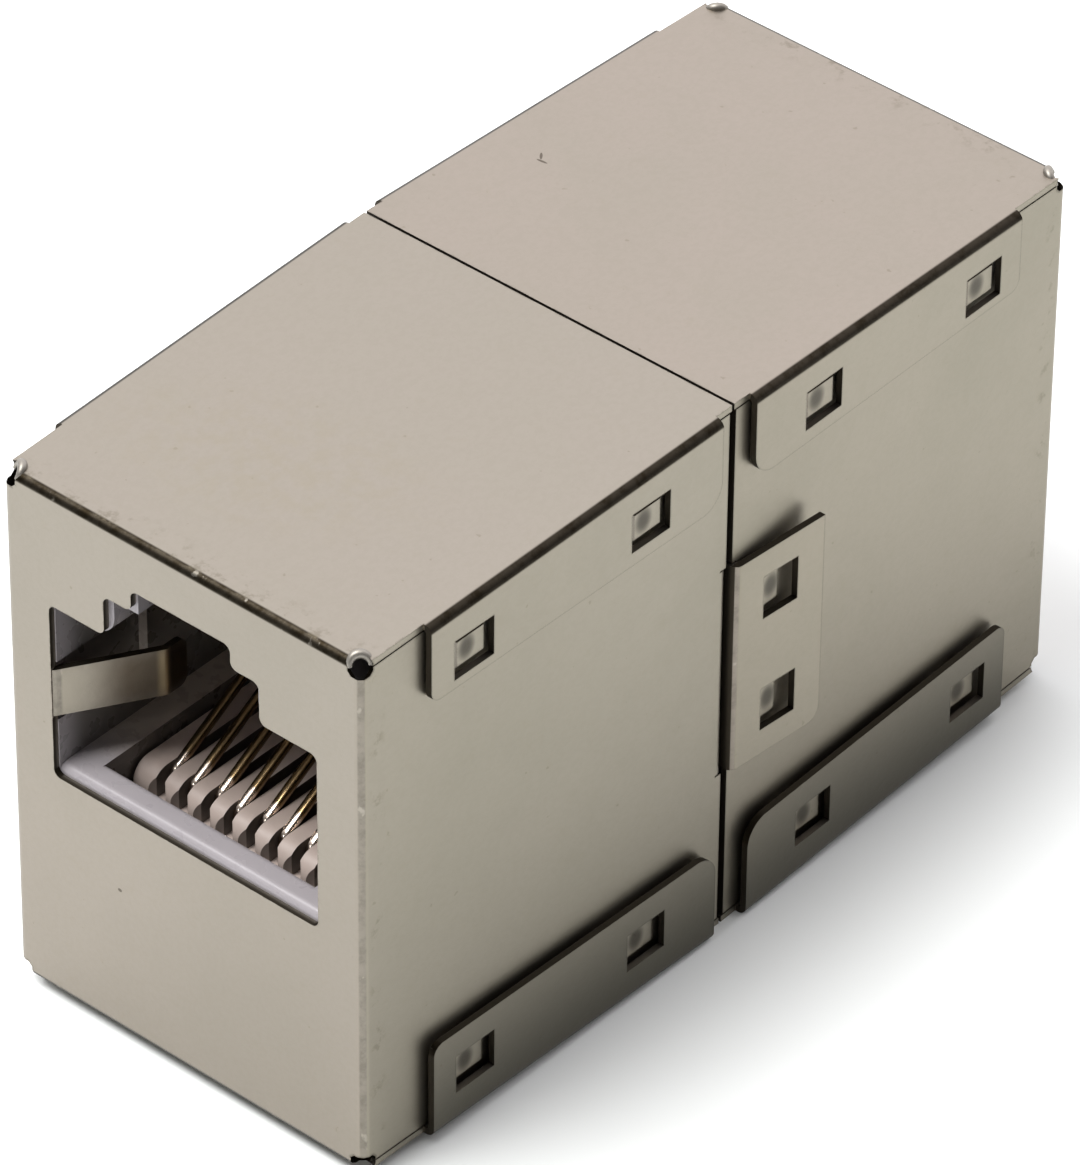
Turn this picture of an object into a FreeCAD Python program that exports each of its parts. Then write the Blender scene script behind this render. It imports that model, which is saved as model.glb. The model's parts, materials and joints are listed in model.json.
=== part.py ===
"""Shielded RJ45 inline coupler: two folded-sheet cases back to back on one circuit board.

Frame: X across the port, Y from the front port (-Y) to the rear port (+Y), Z up.
The origin lies in the seam plane, on the lowest line of the two cases.
Both halves are built alike. The rear half is the front half turned by 180 degrees about Z.
"""
import FreeCAD, Part
import Sketcher
import math
import os
import re

Vector = FreeCAD.Vector

# Driving sizes in millimetres and degrees. "Depth" is measured from the port face towards the seam,
# and "level" is the height above the lower edge of the port face.
SIZES = {
    # case: the folded sheet
    "half_length": 18.1,
    "face_width": 15.8,
    "face_height": 21.65,
    "sheet": 0.25,
    "bend_radius": 0.08,
    "side_splay": 0.25,
    "level_splay": 0.40,
    "seam_gap": 0.12,
    "side_setback": 0.10,
    "edge_slit": 0.06,
    "relief_radius": 0.43,
    # flanges that fold from the top and bottom walls over the side walls
    "top_flange_gap": 0.10,
    "bottom_flange_gap": 0.22,
    "flange_bend": 0.10,
    "flange_start": 2.95,
    "flange_stop": 17.25,
    "top_flange": 3.10,
    "bottom_flange": 4.00,
    "front_corner": 0.45,
    "rear_corner": 1.00,
    # windows in the flanges and the bumps that stand in them
    "window_length": 1.90,
    "window_height": 1.60,
    "front_window": 5.00,
    "rear_window": 13.65,
    "top_window_drop": 2.05,
    "bottom_window_rise": 2.15,
    "window_play": 0.18,
    "bump_rise": 0.17,
    "bump_chamfer": 0.12,
    # strap that closes the open end, and its tab
    "strap_height": 8.80,
    "strap_relief": 0.06,
    "tab_gap": 0.02,
    "tab_length": 4.30,
    "tab_flare": 0.38,
    "tab_corner": 0.60,
    "tab_window_length": 1.65,
    "tab_window_height": 1.80,
    "tab_window_setback": 2.20,
    "tab_window_spread": 4.85,
    "tab_bump_length": 1.00,
    # port outline in the face
    "port_width": 11.90,
    "port_floor": 9.65,
    "port_top": 16.95,
    "latch_width": 6.90,
    "latch_top": 18.60,
    "hook_width": 4.40,
    "hook_top": 19.50,
    "port_corner": 0.30,
    # grounding tongues at the sides of the port
    "tongue_level": 13.15,
    "tongue_height": 1.95,
    "tongue_depth": 3.40,
    "tongue_angle": 31.6,
    "tongue_tip": 0.95,
    "tongue_root": 0.60,
    "tongue_corner": 0.35,
    # moulded housing
    "housing_fit": 0.10,
    "block_chamfer": 1.00,
    "sill_level": 10.00,
    "sill_width": 1.10,
    "sill_round": 0.30,
    "cavity_width": 11.80,
    "cavity_top": 16.80,
    "cavity_depth": 12.00,
    "well_width": 9.50,
    "key_width": 6.40,
    "key_top": 18.40,
    "key_hook_width": 4.20,
    "key_hook_top": 19.35,
    "lead_in": 0.85,
    "catch_depth": 2.00,
    "catch_width": 7.80,
    "tongue_recess": 0.40,
    "tongue_room": 0.25,
    "bay_room": 0.10,
    "peg_diameter": 1.40,
    "peg_spread": 8.60,
    "peg_depth": 14.80,
    "peg_stub": 0.40,
    # contact carrier
    "carrier_level": 9.35,
    "carrier_fit": 0.10,
    "groove_width": 1.10,
    "nose_radius": 0.75,
    "nose_chamfer": 0.20,
    "comb_depth": 10.60,
    "comb_level": 14.20,
    "comb_notch": 1.60,
    # contacts
    "pitch": 1.02,
    "wire": 0.34,
    "slot": 0.40,
    "wire_level": 8.40,
    "hairpin_radius": 0.45,
    "hairpin_depth": 3.70,
    "hairpin_stagger": 0.10,
    "rise_angle": 30.0,
    "rise_depth": 11.20,
    "tail_radius": 0.50,
    "tail_depth": 6.40,
    "tail_row": 2.54,
    "tail_stub": 1.00,
    # circuit board
    "board_top": 5.20,
    "board_thickness": 1.20,
    "board_width": 12.00,
    "board_setback": 1.60,
    "board_corner": 0.60,
    "hole_fit": 0.06,
}

CONTACTS = 8

doc = FreeCAD.newDocument("rj45_inline_coupler")
sizes = doc.addObject("Spreadsheet::Sheet", "sizes")
for row, (alias, value) in enumerate(SIZES.items(), start=1):
    sizes.set("A%d" % row, alias)
    sizes.set("B%d" % row, str(value))
    sizes.setAlias("B%d" % row, alias)
doc.recompute()


def bound(text):
    """Expression in which each alias points at its cell."""
    def cell(match):
        word = match.group(0)
        return "sizes." + word if word in SIZES else word
    return re.sub(r"[a-z][a-z_]*", cell, text)


def value(text):
    """Number that an expression stands for now."""
    return float(sizes.evalExpression(bound(text)))


# ---- places that follow from the sizes, as expressions ----
FACE = "-half_length"
OPEN = "-seam_gap / 2"
HALF = "face_width / 2"
OPEN_DEPTH = "(half_length - seam_gap / 2)"


def at_depth(depth):
    """Y of a depth behind the port face."""
    return "-half_length + (%s)" % depth


def at_level(level):
    """Z of a level above the lower edge of the port face."""
    return "level_splay + (%s)" % level


def side_at(depth):
    """Outer X of a side wall, which splays towards the open end."""
    return "(face_width / 2 + side_splay * (%s) / %s)" % (depth, OPEN_DEPTH)


def top_at(depth):
    """Outer Z of the top wall."""
    return "(level_splay + face_height + level_splay * (%s) / %s)" % (depth, OPEN_DEPTH)


def bottom_at(depth):
    """Outer Z of the bottom wall."""
    return "(level_splay - level_splay * (%s) / %s)" % (depth, OPEN_DEPTH)


def top_free_edge(depth):
    """Z of the top flange's lower edge, which is level along the whole flange."""
    return at_level("face_height - top_flange")


def bottom_free_edge(depth):
    """Z of the bottom flange's upper edge, which follows the bottom wall."""
    return bottom_at(depth) + " + bottom_flange"


# ---- sketches ----
def origin_part(body, role):
    """Plane or axis of the body's own origin."""
    return [item for item in body.Origin.OriginFeatures if item.Role == role][0]


def new_sketch(body, name, role, offset):
    sketch = body.newObject("Sketcher::SketchObject", name)
    sketch.AttachmentSupport = [(origin_part(body, role), "")]
    sketch.MapMode = "FlatFace"
    sketch.setExpression("AttachmentOffset.Base.z", bound(offset))
    return sketch


def constrain(sketch, name, expression, *terms):
    """Add one dimension and bind it to the sheet."""
    number = sketch.addConstraint(Sketcher.Constraint(*terms))
    sketch.renameConstraint(number, name)
    sketch.setExpression("Constraints." + name, bound(expression))


def corner_arc(here, before, after, radius):
    """Arc that rounds a corner, its two ends, and which end of the arc each one is."""
    back = (before - here).normalize()
    ahead = (after - here).normalize()
    half_angle = back.getAngle(ahead) / 2
    middle = here + (back + ahead).normalize() * (radius / math.sin(half_angle))
    reach = radius / math.tan(half_angle)
    first = here + back * reach
    last = here + ahead * reach
    first_angle = math.atan2(first.y - middle.y, first.x - middle.x)
    last_angle = math.atan2(last.y - middle.y, last.x - middle.x)
    circle = Part.Circle(middle, Vector(0, 0, 1), radius)
    if back.cross(ahead).z < 0:
        return Part.ArcOfCircle(circle, first_angle, last_angle), first, last, (1, 2)
    return Part.ArcOfCircle(circle, last_angle, first_angle), first, last, (2, 1)


def outline(body, name, role, offset, corners):
    """Closed outline through corners (across, up) or (across, up, radius), all bound to the sheet."""
    sketch = new_sketch(body, name, role, offset)
    count = len(corners)
    for index, corner in enumerate(corners):
        sketch.addGeometry(Part.Point(Vector(index, index, 0)), True)
        constrain(sketch, "across%d" % index, corner[0], "DistanceX", index, 1, 1.0)
        constrain(sketch, "up%d" % index, corner[1], "DistanceY", index, 1, 1.0)
    sketch.recompute()
    points = [Vector(item.X, item.Y, 0) for item in sketch.Geometry[:count]]
    starts, ends, arcs = list(points), list(points), {}
    for index, corner in enumerate(corners):
        if len(corner) == 3:
            arc, starts[index], ends[index], arc_ends = corner_arc(
                points[index], points[index - 1], points[(index + 1) % count], value(corner[2]))
            arcs[index] = (sketch.addGeometry(arc, False), arc_ends)
    for index in range(count):
        after = (index + 1) % count
        line = sketch.addGeometry(Part.LineSegment(ends[index], starts[after]), False)
        for line_end, corner in ((1, index), (2, after)):
            if corner in arcs:
                arc, arc_ends = arcs[corner]
                sketch.addConstraint(Sketcher.Constraint("PointOnObject", corner, 1, line))
                sketch.addConstraint(
                    Sketcher.Constraint("Tangent", line, line_end, arc, arc_ends[2 - line_end]))
            else:
                sketch.addConstraint(Sketcher.Constraint("Coincident", line, line_end, corner, 1))
    for index, (arc, arc_ends) in arcs.items():
        radius = corners[index][2]
        constrain(sketch, "radius%d" % index, radius, "Radius", arc, value(radius))
    return sketch


def rectangle(low_across, high_across, low_up, high_up, *radius):
    """Corners of an upright rectangle, rounded where a radius is given."""
    return [
        (low_across, low_up, *radius),
        (high_across, low_up, *radius),
        (high_across, high_up, *radius),
        (low_across, high_up, *radius),
    ]


# ---- features ----
def extrude(body, kind, sketch, length, along_normal=True, both_sides=False):
    """Pad or Pocket of a sketch, its length bound to the sheet."""
    feature = body.newObject("PartDesign::" + kind, sketch.Name + "_" + kind.lower())
    feature.Profile = sketch
    feature.setExpression("Length", bound(length))
    feature.SideType = "Symmetric" if both_sides else "One side"
    feature.Reversed = along_normal if kind == "Pocket" else not along_normal
    sketch.Visibility = False
    doc.recompute()
    return feature


def loft(body, kind, first, second):
    """Straight-sided loft between two sketches."""
    feature = body.newObject("PartDesign::" + kind, first.Name + "_" + kind.lower())
    feature.Profile = first
    feature.Sections = [second]
    feature.Ruled = True
    doc.recompute()
    return feature


def ease_edges(body, kind, name, size, chosen):
    """Fillet or Chamfer of the edges of the body's last shape that the test picks."""
    base = body.Tip
    names = ["Edge%d" % number for number, edge in enumerate(base.Shape.Edges, start=1) if chosen(edge)]
    feature = body.newObject("PartDesign::" + kind, name)
    feature.Base = (base, names)
    feature.setExpression("Radius" if kind == "Fillet" else "Size", bound(size))
    doc.recompute()
    return feature


def round_edges(body, name, radius, chosen):
    return ease_edges(body, "Fillet", name, radius, chosen)


def prism(body, kind, name, sides, radius, height, place, turn=FreeCAD.Rotation()):
    """Additive or Subtractive prism that rises from a place given by its three coordinates."""
    feature = body.newObject("PartDesign::%sPrism" % kind, name)
    feature.AttachmentSupport = [(origin_part(body, "XY_Plane"), "")]
    feature.MapMode = "FlatFace"
    feature.AttachmentOffset = FreeCAD.Placement(Vector(), turn)
    feature.Polygon = sides
    feature.setExpression("Circumradius", bound(radius))
    feature.setExpression("Height", bound(height))
    for axis, coordinate in zip("xyz", place):
        feature.setExpression("AttachmentOffset.Base." + axis, bound(coordinate))
    doc.recompute()
    return feature


def repeat_along_x(body, name, originals, step, count):
    """Repeat features along X at a step bound to the sheet."""
    pattern = body.newObject("PartDesign::LinearPattern", name)
    pattern.Originals = originals
    pattern.Direction = (origin_part(body, "X_Axis"), [""])
    pattern.Occurrences = count
    pattern.setExpression("Length", bound("%s * %d" % (step, count - 1)))
    body.Tip = pattern
    doc.recompute()


def mirror_across(body, name, originals):
    """Repeat features on the other side of the body's YZ plane."""
    feature = body.newObject("PartDesign::Mirrored", name)
    feature.Originals = originals
    feature.MirrorPlane = (origin_part(body, "YZ_Plane"), [""])
    body.Tip = feature
    doc.recompute()
    return feature


def new_body(label):
    body = doc.addObject("PartDesign::Body", label)
    body.Label = label
    return body


def near(number, target, slack=0.02):
    return abs(number - target) < slack


# ---- case: one folded sheet ----
def tapered(body, kind, name, depths, limits_at):
    """Wedge along Y between two rectangles, each given by its limits at a depth."""
    feature = body.newObject("PartDesign::" + kind, name)
    feature.AttachmentSupport = [(origin_part(body, "XY_Plane"), "")]
    feature.MapMode = "FlatFace"
    for depth, limit, names in zip(depths, ("Ymin", "Ymax"), (
            ("Xmin", "Xmax", "Zmin", "Zmax"), ("X2min", "X2max", "Z2min", "Z2max"))):
        feature.setExpression(limit, bound(at_depth(depth)))
        for prop, expression in zip(names, limits_at(depth)):
            feature.setExpression(prop, bound(expression))
    doc.recompute()
    return feature


def walls_inset(across, up):
    """Limits of the splayed walls, inset from their outer faces."""
    def limits_at(depth):
        side = side_at(depth)
        return ("-%s + %s" % (side, across), "%s - %s" % (side, across),
                "%s + %s" % (bottom_at(depth), up), "%s - %s" % (top_at(depth), up))
    return limits_at


def slit_under(level_at, inward):
    """Limits of the gap between the end of a side wall and the wall that covers it."""
    def limits_at(depth):
        side = side_at(depth)
        levels = ["%s %s sheet" % (level_at(depth), inward),
                  "%s %s (sheet + edge_slit)" % (level_at(depth), inward)]
        if inward == "-":
            levels.reverse()
        return ("%s - sheet * 2" % side, "%s + edge_slit" % side, *levels)
    return limits_at


def flange_over(level_at, free_edge_at, inward, gap):
    """Section of a wall that folds over the side wall and ends in a free edge."""
    def corners_at(depth):
        side = side_at(depth)
        level = level_at(depth)
        free_edge = free_edge_at(depth)
        inner = "%s + %s" % (side, gap)
        return [
            (side + " - bend_radius - sheet", level),
            (inner + " + sheet", level, "flange_bend + sheet"),
            (inner + " + sheet", free_edge),
            (inner, free_edge),
            (inner, "%s %s sheet" % (level, inward), "flange_bend"),
            (side + " - bend_radius - sheet", "%s %s sheet" % (level, inward)),
        ]
    return corners_at


def add_flange(body, name, corners_at):
    """Loft of a flange's section along its side wall."""
    sections = [outline(body, "%s_%d" % (name, number), "XZ_Plane", "half_length - " + depth,
                        corners_at(depth))
                for number, depth in enumerate(("flange_start", "flange_stop"))]
    return loft(body, "AdditiveLoft", *sections)


def cut_relief(body, name, across, level, upward):
    """Hole along the diagonal where three walls meet at a corner of the face."""
    turn = FreeCAD.Rotation(Vector(0, 0, 1), Vector(across, -1, upward))
    prism(body, "Subtractive", name, 12, "relief_radius", "sheet * 6", (
        "(%s - sheet * 2) * %d" % (side_at("sheet"), across), at_depth("sheet * 2"), level), turn)


def add_port(body):
    """Stepped opening for the plug and its latch."""
    steps = [
        ("port_width / 2", at_level("port_floor"), "port_corner"),
        ("port_width / 2", at_level("port_top"), "port_corner"),
        ("latch_width / 2", at_level("port_top"), "port_corner"),
        ("latch_width / 2", at_level("latch_top"), "port_corner"),
        ("hook_width / 2", at_level("latch_top"), "port_corner"),
        ("hook_width / 2", at_level("hook_top"), "port_corner"),
    ]
    mirrored = [("-(%s)" % across, up, radius) for across, up, radius in reversed(steps)]
    sketch = outline(body, "port", "XZ_Plane", "half_length + sheet", steps + mirrored)
    return extrude(body, "Pocket", sketch, "sheet * 3", along_normal=False)


def add_tongue(body):
    """Grounding tongue, bent back and inward from the side edge of the port."""
    lean = "tan(tongue_angle * 1 deg)"
    half = "port_width / 2"
    inner = "(%s - tongue_depth * %s)" % (half, lean)
    corners = [
        (half + " + tongue_root", FACE),
        (half, FACE, "bend_radius + sheet"),
        (inner, at_depth("tongue_depth"), "bend_radius + sheet"),
        (inner, at_depth("tongue_depth + tongue_tip")),
        (inner + " + sheet", at_depth("tongue_depth + tongue_tip")),
        (inner + " + sheet", at_depth("tongue_depth + sheet * tan(tongue_angle / 2 * 1 deg)"),
         "bend_radius"),
        ("%s + sheet * (1 - sin(tongue_angle * 1 deg)) / cos(tongue_angle * 1 deg)" % half,
         at_depth("sheet"), "bend_radius"),
        (half + " + tongue_root", at_depth("sheet")),
    ]
    sketch = outline(body, "tongue", "XY_Plane", at_level("tongue_level"), corners)
    return extrude(body, "Pad", sketch, "tongue_height", both_sides=True)


def side_rectangle(body, name, offset, depth, level, length, height, *radius, turned=False):
    """Upright rectangle beside a side wall, about a depth and a level."""
    middle = at_depth(depth)
    return outline(body, name, "YZ_Plane", ("-(%s)" if turned else "%s") % offset, rectangle(
        "%s - %s / 2" % (middle, length), "%s + %s / 2" % (middle, length),
        "%s - %s / 2" % (level, height), "%s + %s / 2" % (level, height), *radius))


def add_window(body, name, depth, level, length, height, gap, turned=False):
    """Square window through the layer that lies over a side wall at a gap."""
    sketch = side_rectangle(body, name, "(%s + %s / 2)" % (side_at(depth), gap), depth, level,
                            length, height, turned=turned)
    return extrude(body, "Pocket", sketch, gap + " + sheet * 2", along_normal=not turned)


def add_bump(body, name, depth, level, length, height, rise, turned=False):
    """Bump pressed out of a side wall into a window."""
    sketch = side_rectangle(body, name, "(%s - sheet / 2)" % side_at(depth), depth, level,
                            length, "(%s - window_play * 2)" % height, turned=turned)
    return extrude(body, "Pad", sketch, "sheet / 2 + " + rise, along_normal=not turned)


MID_LEVEL = at_level("face_height / 2")
TAB_DEPTH = "(%s - tab_length)" % OPEN_DEPTH
TAB_WINDOW = "(%s - tab_window_setback)" % OPEN_DEPTH
TAB_BUMP = "(%s + (tab_window_length - window_play - tab_bump_length) / 2)" % TAB_WINDOW
TAB_STANDOFF = "(tab_gap + tab_flare * tab_window_setback / tab_length)"
TAB_LEVELS = (MID_LEVEL + " + tab_window_spread / 2", MID_LEVEL + " - tab_window_spread / 2")


def add_strap(body):
    """Strap that runs from the +X wall across the open end and round the -X wall."""
    side = side_at(OPEN_DEPTH)
    room = "strap_height + strap_relief * 2"
    for name, turned, length in (
            ("strap_root", False, "(bend_radius + sheet + strap_relief)"),
            ("strap_pass", True, "(sheet + strap_relief)")):
        sketch = side_rectangle(body, name, side + " + sheet", OPEN_DEPTH, MID_LEVEL,
                                length + " * 2", "(%s)" % room, turned=turned)
        extrude(body, "Pocket", sketch, "sheet * 3", along_normal=turned)
    start = "(%s - bend_radius - sheet - strap_relief * 2)" % OPEN_DEPTH
    tab = "-(%s + tab_gap + tab_flare" % side_at(TAB_DEPTH)
    sketch = outline(body, "strap", "XY_Plane", MID_LEVEL, [
        (side_at(start), at_depth(start)),
        (side, OPEN, "bend_radius + sheet"),
        ("-(%s + tab_gap + sheet)" % side, OPEN, "bend_radius + sheet"),
        (tab + " + sheet)", at_depth(TAB_DEPTH)),
        (tab + ")", at_depth(TAB_DEPTH)),
        ("-(%s + tab_gap)" % side, OPEN + " - sheet", "bend_radius"),
        (side + " - sheet", OPEN + " - sheet", "bend_radius"),
        (side_at(start) + " - sheet", at_depth(start)),
    ])
    extrude(body, "Pad", sketch, "strap_height", both_sides=True)
    for name, level in zip(("high", "low"), TAB_LEVELS):
        add_window(body, "tab_window_" + name, TAB_WINDOW, level, "tab_window_length",
                   "tab_window_height", TAB_STANDOFF, turned=True)
        add_bump(body, "tab_bump_" + name, TAB_BUMP, level, "tab_bump_length",
                 "tab_window_height", "bump_rise", turned=True)


def spans(edge, axes):
    """Whether an edge runs only along the named axes."""
    box = edge.BoundBox
    lengths = {"x": box.XLength, "y": box.YLength, "z": box.ZLength}
    return all(lengths[axis] < 0.02 for axis in "xyz" if axis not in axes)


def edges_along_x(*places):
    """Test for the edges through a side layer's thickness at pairs of depth and level."""
    spots = [(value(at_depth(depth)), value(level)) for depth, level in places]
    return lambda edge: spans(edge, "x") and any(
        near(edge.CenterOfMass.y, y) and near(edge.CenterOfMass.z, z) for y, z in spots)


def bump_rims(*places):
    """Test for the edges round the tops of bumps at pairs of depth and level."""
    spots = [(value(side_at(depth) + " + bump_rise"), value(at_depth(depth)), value(level))
             for depth, level in places]

    def chosen(edge):
        middle = edge.CenterOfMass
        return spans(edge, "yz") and any(
            near(abs(middle.x), x) and near(middle.y, y, 0.9) and near(middle.z, z, 0.9)
            for x, y, z in spots)
    return chosen


def fold_case(label):
    """Case of one half, its port towards -Y."""
    case = new_body(label)
    tapered(case, "AdditiveWedge", "outside", ("0", OPEN_DEPTH), walls_inset("0", "0"))
    face, behind = value(FACE), value(at_depth("sheet"))
    round_edges(case, "outer_bends", "sheet + bend_radius",
                lambda edge: spans(edge, "xz") and near(edge.CenterOfMass.y, face))
    tapered(case, "SubtractiveWedge", "inside", ("sheet", "half_length"),
            walls_inset("sheet", "sheet"))
    round_edges(case, "inner_bends", "bend_radius",
                lambda edge: spans(edge, "xz") and near(edge.CenterOfMass.y, behind))
    for name, across in (("left", -1), ("right", 1)):
        cut_relief(case, name + "_top_relief", across, top_at("sheet") + " - sheet * 2", 1)
        cut_relief(case, name + "_bottom_relief", across, bottom_at("sheet") + " + sheet * 2", -1)
    add_port(case)
    reach = "(face_width / 2 + side_splay + sheet)"
    extrude(case, "Pocket", outline(case, "side_ends", "XZ_Plane", "seam_gap / 2", rectangle(
        "-" + reach, reach, bottom_at(OPEN_DEPTH) + " + sheet + edge_slit / 2",
        top_at(OPEN_DEPTH) + " - sheet - edge_slit / 2")), "side_setback * 2", both_sides=True)
    add_strap(case)
    repeated = [
        tapered(case, "SubtractiveWedge", "top_slit", ("sheet", "half_length"),
                slit_under(top_at, "-")),
        tapered(case, "SubtractiveWedge", "bottom_slit", ("sheet", "half_length"),
                slit_under(bottom_at, "+")),
        add_tongue(case),
        add_flange(case, "top_flange", flange_over(top_at, top_free_edge, "-", "top_flange_gap")),
        add_flange(case, "bottom_flange",
                   flange_over(bottom_at, bottom_free_edge, "+", "bottom_flange_gap")),
    ]
    bumps = [(TAB_BUMP, level) for level in TAB_LEVELS]
    for place, depth in (("front", "front_window"), ("rear", "rear_window")):
        for name, level in (("top", top_at(depth) + " - top_window_drop"),
                            ("bottom", bottom_at(depth) + " + bottom_window_rise")):
            repeated.append(add_window(case, "%s_%s_window" % (place, name), depth, level,
                                       "window_length", "window_height", name + "_flange_gap"))
            repeated.append(add_bump(case, "%s_%s_bump" % (place, name), depth, level,
                                     "(window_length - window_play * 2)", "window_height",
                                     "bump_rise"))
            bumps.append((depth, level))
    mirror_across(case, "left_side", repeated)
    for depth, radius in (("flange_start", "front_corner"), ("flange_stop", "rear_corner")):
        round_edges(case, radius, radius, edges_along_x(
            (depth, top_free_edge(depth)), (depth, bottom_free_edge(depth))))
    tongue_end = "tongue_depth + tongue_tip"
    round_edges(case, "tongue_corners", "tongue_corner", edges_along_x(
        (tongue_end, at_level("tongue_level + tongue_height / 2")),
        (tongue_end, at_level("tongue_level - tongue_height / 2"))))
    round_edges(case, "tab_corner", "tab_corner",
                edges_along_x((TAB_DEPTH, MID_LEVEL + " - strap_height / 2")))
    ease_edges(case, "Chamfer", "bump_tops", "bump_chamfer", bump_rims(*bumps))
    return case


# ---- housing: one moulded block that fills the case ----
def mould_housing(label):
    """Housing of one half, with the plug's cavity and a bay for the circuit board."""
    housing = new_body(label)
    side, foot = "(face_width / 2 - sheet - housing_fit)", "(sheet + housing_fit)"
    head, cut = "(face_height - %s)" % foot, "block_chamfer"
    right = [
        ("%s - %s" % (side, cut), at_level(foot)),
        (side, at_level("%s + %s" % (foot, cut))),
        (side, at_level("%s - %s" % (head, cut))),
        ("%s - %s" % (side, cut), at_level(head)),
    ]
    left = [("-(%s)" % across, up) for across, up in reversed(right)]
    extrude(housing, "Pad", outline(housing, "block", "XZ_Plane", "half_length - sheet",
                                    right + left), OPEN_DEPTH + " - sheet * 2",
            along_normal=False)
    sill = at_level("sill_level")
    steps = [
        ("cavity_width / 2", sill),
        ("cavity_width / 2", at_level("cavity_top")),
        ("key_width / 2", at_level("cavity_top"), "lead_in"),
        ("key_width / 2", at_level("key_top")),
        ("key_hook_width / 2", at_level("key_top")),
        ("key_hook_width / 2", at_level("key_hook_top")),
    ]
    mirrored = [("-(%s)" % across, *rest) for across, *rest in reversed(steps)]
    extrude(housing, "Pocket", outline(housing, "cavity", "XZ_Plane", "half_length - sheet",
                                       steps + mirrored), "cavity_depth - sheet",
            along_normal=False)
    extrude(housing, "Pocket", outline(
        housing, "catch", "XZ_Plane", "half_length - catch_depth", rectangle(
            "-catch_width / 2", "catch_width / 2", at_level("cavity_top - sheet"),
            at_level("key_top"))), "cavity_depth - catch_depth", along_normal=False)
    reach = "(cavity_width / 2 + tongue_recess)"
    extrude(housing, "Pocket", outline(
        housing, "tongue_recesses", "XY_Plane", at_level("tongue_level"), rectangle(
            "-" + reach, reach, at_depth("sheet"),
            at_depth("tongue_depth + tongue_tip + tongue_room"))),
            "tongue_height + tongue_room * 2", both_sides=True)
    extrude(housing, "Pocket", outline(housing, "well", "XY_Plane", sill, rectangle(
        "-well_width / 2", "well_width / 2", at_depth("sheet + sill_width"),
        at_depth("cavity_depth"))), "sill_level", along_normal=False)
    bay_side = "(board_width / 2 + bay_room)"
    extrude(housing, "Pocket", outline(
        housing, "bay", "XY_Plane", at_level("board_top"), rectangle(
            "-" + bay_side, bay_side, at_depth("board_setback - bay_room"), "0")),
            "board_top", along_normal=False)
    for name, across in (("peg_left", "-peg_spread / 2"), ("peg_right", "peg_spread / 2")):
        prism(housing, "Additive", name, 8, "peg_diameter / 2", "board_thickness + peg_stub", (
            across, at_depth("peg_depth"), at_level("board_top - board_thickness - peg_stub")))
    ends, level = (value(at_depth("sheet")), value(at_depth("sheet + sill_width"))), value(sill)
    round_edges(housing, "sill_edges", "sill_round", lambda edge: (
        spans(edge, "x") and near(edge.CenterOfMass.z, level)
        and any(near(edge.CenterOfMass.y, y) for y in ends)))
    return housing


# ---- contacts ----
def contact_across(number):
    """X of a contact, counted from the -X side."""
    return "(%d - %s / 2) * pitch" % (number, CONTACTS + 1)


def tail_at(number):
    """Y of a contact's tail; every second one stands one row further back."""
    return at_depth("tail_depth" if number % 2 else "tail_depth + tail_row")


def bend_contact(label, number):
    """Spring contact: free end, hairpin over the carrier's nose, and a tail through the board."""
    contact = new_body(label)
    bend = at_depth("hairpin_depth %s hairpin_stagger" % ("+" if number % 2 else "-"))
    bend_level = at_level("wire_level + hairpin_radius")
    tail, tail_end = tail_at(number), at_level("board_top - board_thickness - tail_stub")
    radius, turn = value("hairpin_radius"), value("tail_radius")
    rise = math.radians(value("rise_angle"))
    centre = Vector(value(bend), value(bend_level), 0)
    upper = centre + Vector(-math.sin(rise), math.cos(rise), 0) * radius
    tip_y = value(at_depth("rise_depth"))
    tip = Vector(tip_y, upper.y + (tip_y - upper.x) * math.tan(rise), 0)
    lower = centre - Vector(0, radius, 0)
    elbow = Vector(value(tail) - turn, lower.y - turn, 0)
    up = Vector(0, 0, 1)
    path = new_sketch(contact, label + "_path", "YZ_Plane", contact_across(number))
    path.addGeometry([
        Part.LineSegment(upper, tip),
        Part.ArcOfCircle(Part.Circle(centre, up, radius), math.pi / 2 + rise, math.pi * 1.5),
        Part.LineSegment(lower, elbow + Vector(0, turn, 0)),
        Part.ArcOfCircle(Part.Circle(elbow, up, turn), 0, math.pi / 2),
        Part.LineSegment(elbow + Vector(turn, 0, 0), Vector(value(tail), value(tail_end), 0)),
    ], False)
    for ends in ((0, 1, 1, 1), (1, 2, 2, 1), (2, 2, 3, 2), (3, 1, 4, 1)):
        path.addConstraint(Sketcher.Constraint("Tangent", *ends))
    path.addConstraint(Sketcher.Constraint("Horizontal", 2))
    path.addConstraint(Sketcher.Constraint("Vertical", 4))
    constrain(path, "rise", "rise_angle * 1 deg", "Angle", 0, rise)
    constrain(path, "hairpin", "hairpin_radius", "Radius", 1, radius)
    constrain(path, "turn", "tail_radius", "Radius", 3, turn)
    constrain(path, "bend_y", bend, "DistanceX", 1, 3, centre.x)
    constrain(path, "bend_z", bend_level, "DistanceY", 1, 3, centre.y)
    constrain(path, "tip_y", at_depth("rise_depth"), "DistanceX", 0, 2, tip.x)
    constrain(path, "tail_y", tail, "DistanceX", 4, 2, value(tail))
    constrain(path, "tail_z", tail_end, "DistanceY", 4, 2, value(tail_end))
    across = contact_across(number)
    pipe = contact.newObject("PartDesign::AdditivePipe", label + "_wire")
    pipe.Profile = outline(contact, label + "_section", "XY_Plane", tail_end, rectangle(
        across + " - wire / 2", across + " + wire / 2", tail + " - wire / 2", tail + " + wire / 2"))
    pipe.Spine = (path, [])
    doc.recompute()
    return contact


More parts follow.
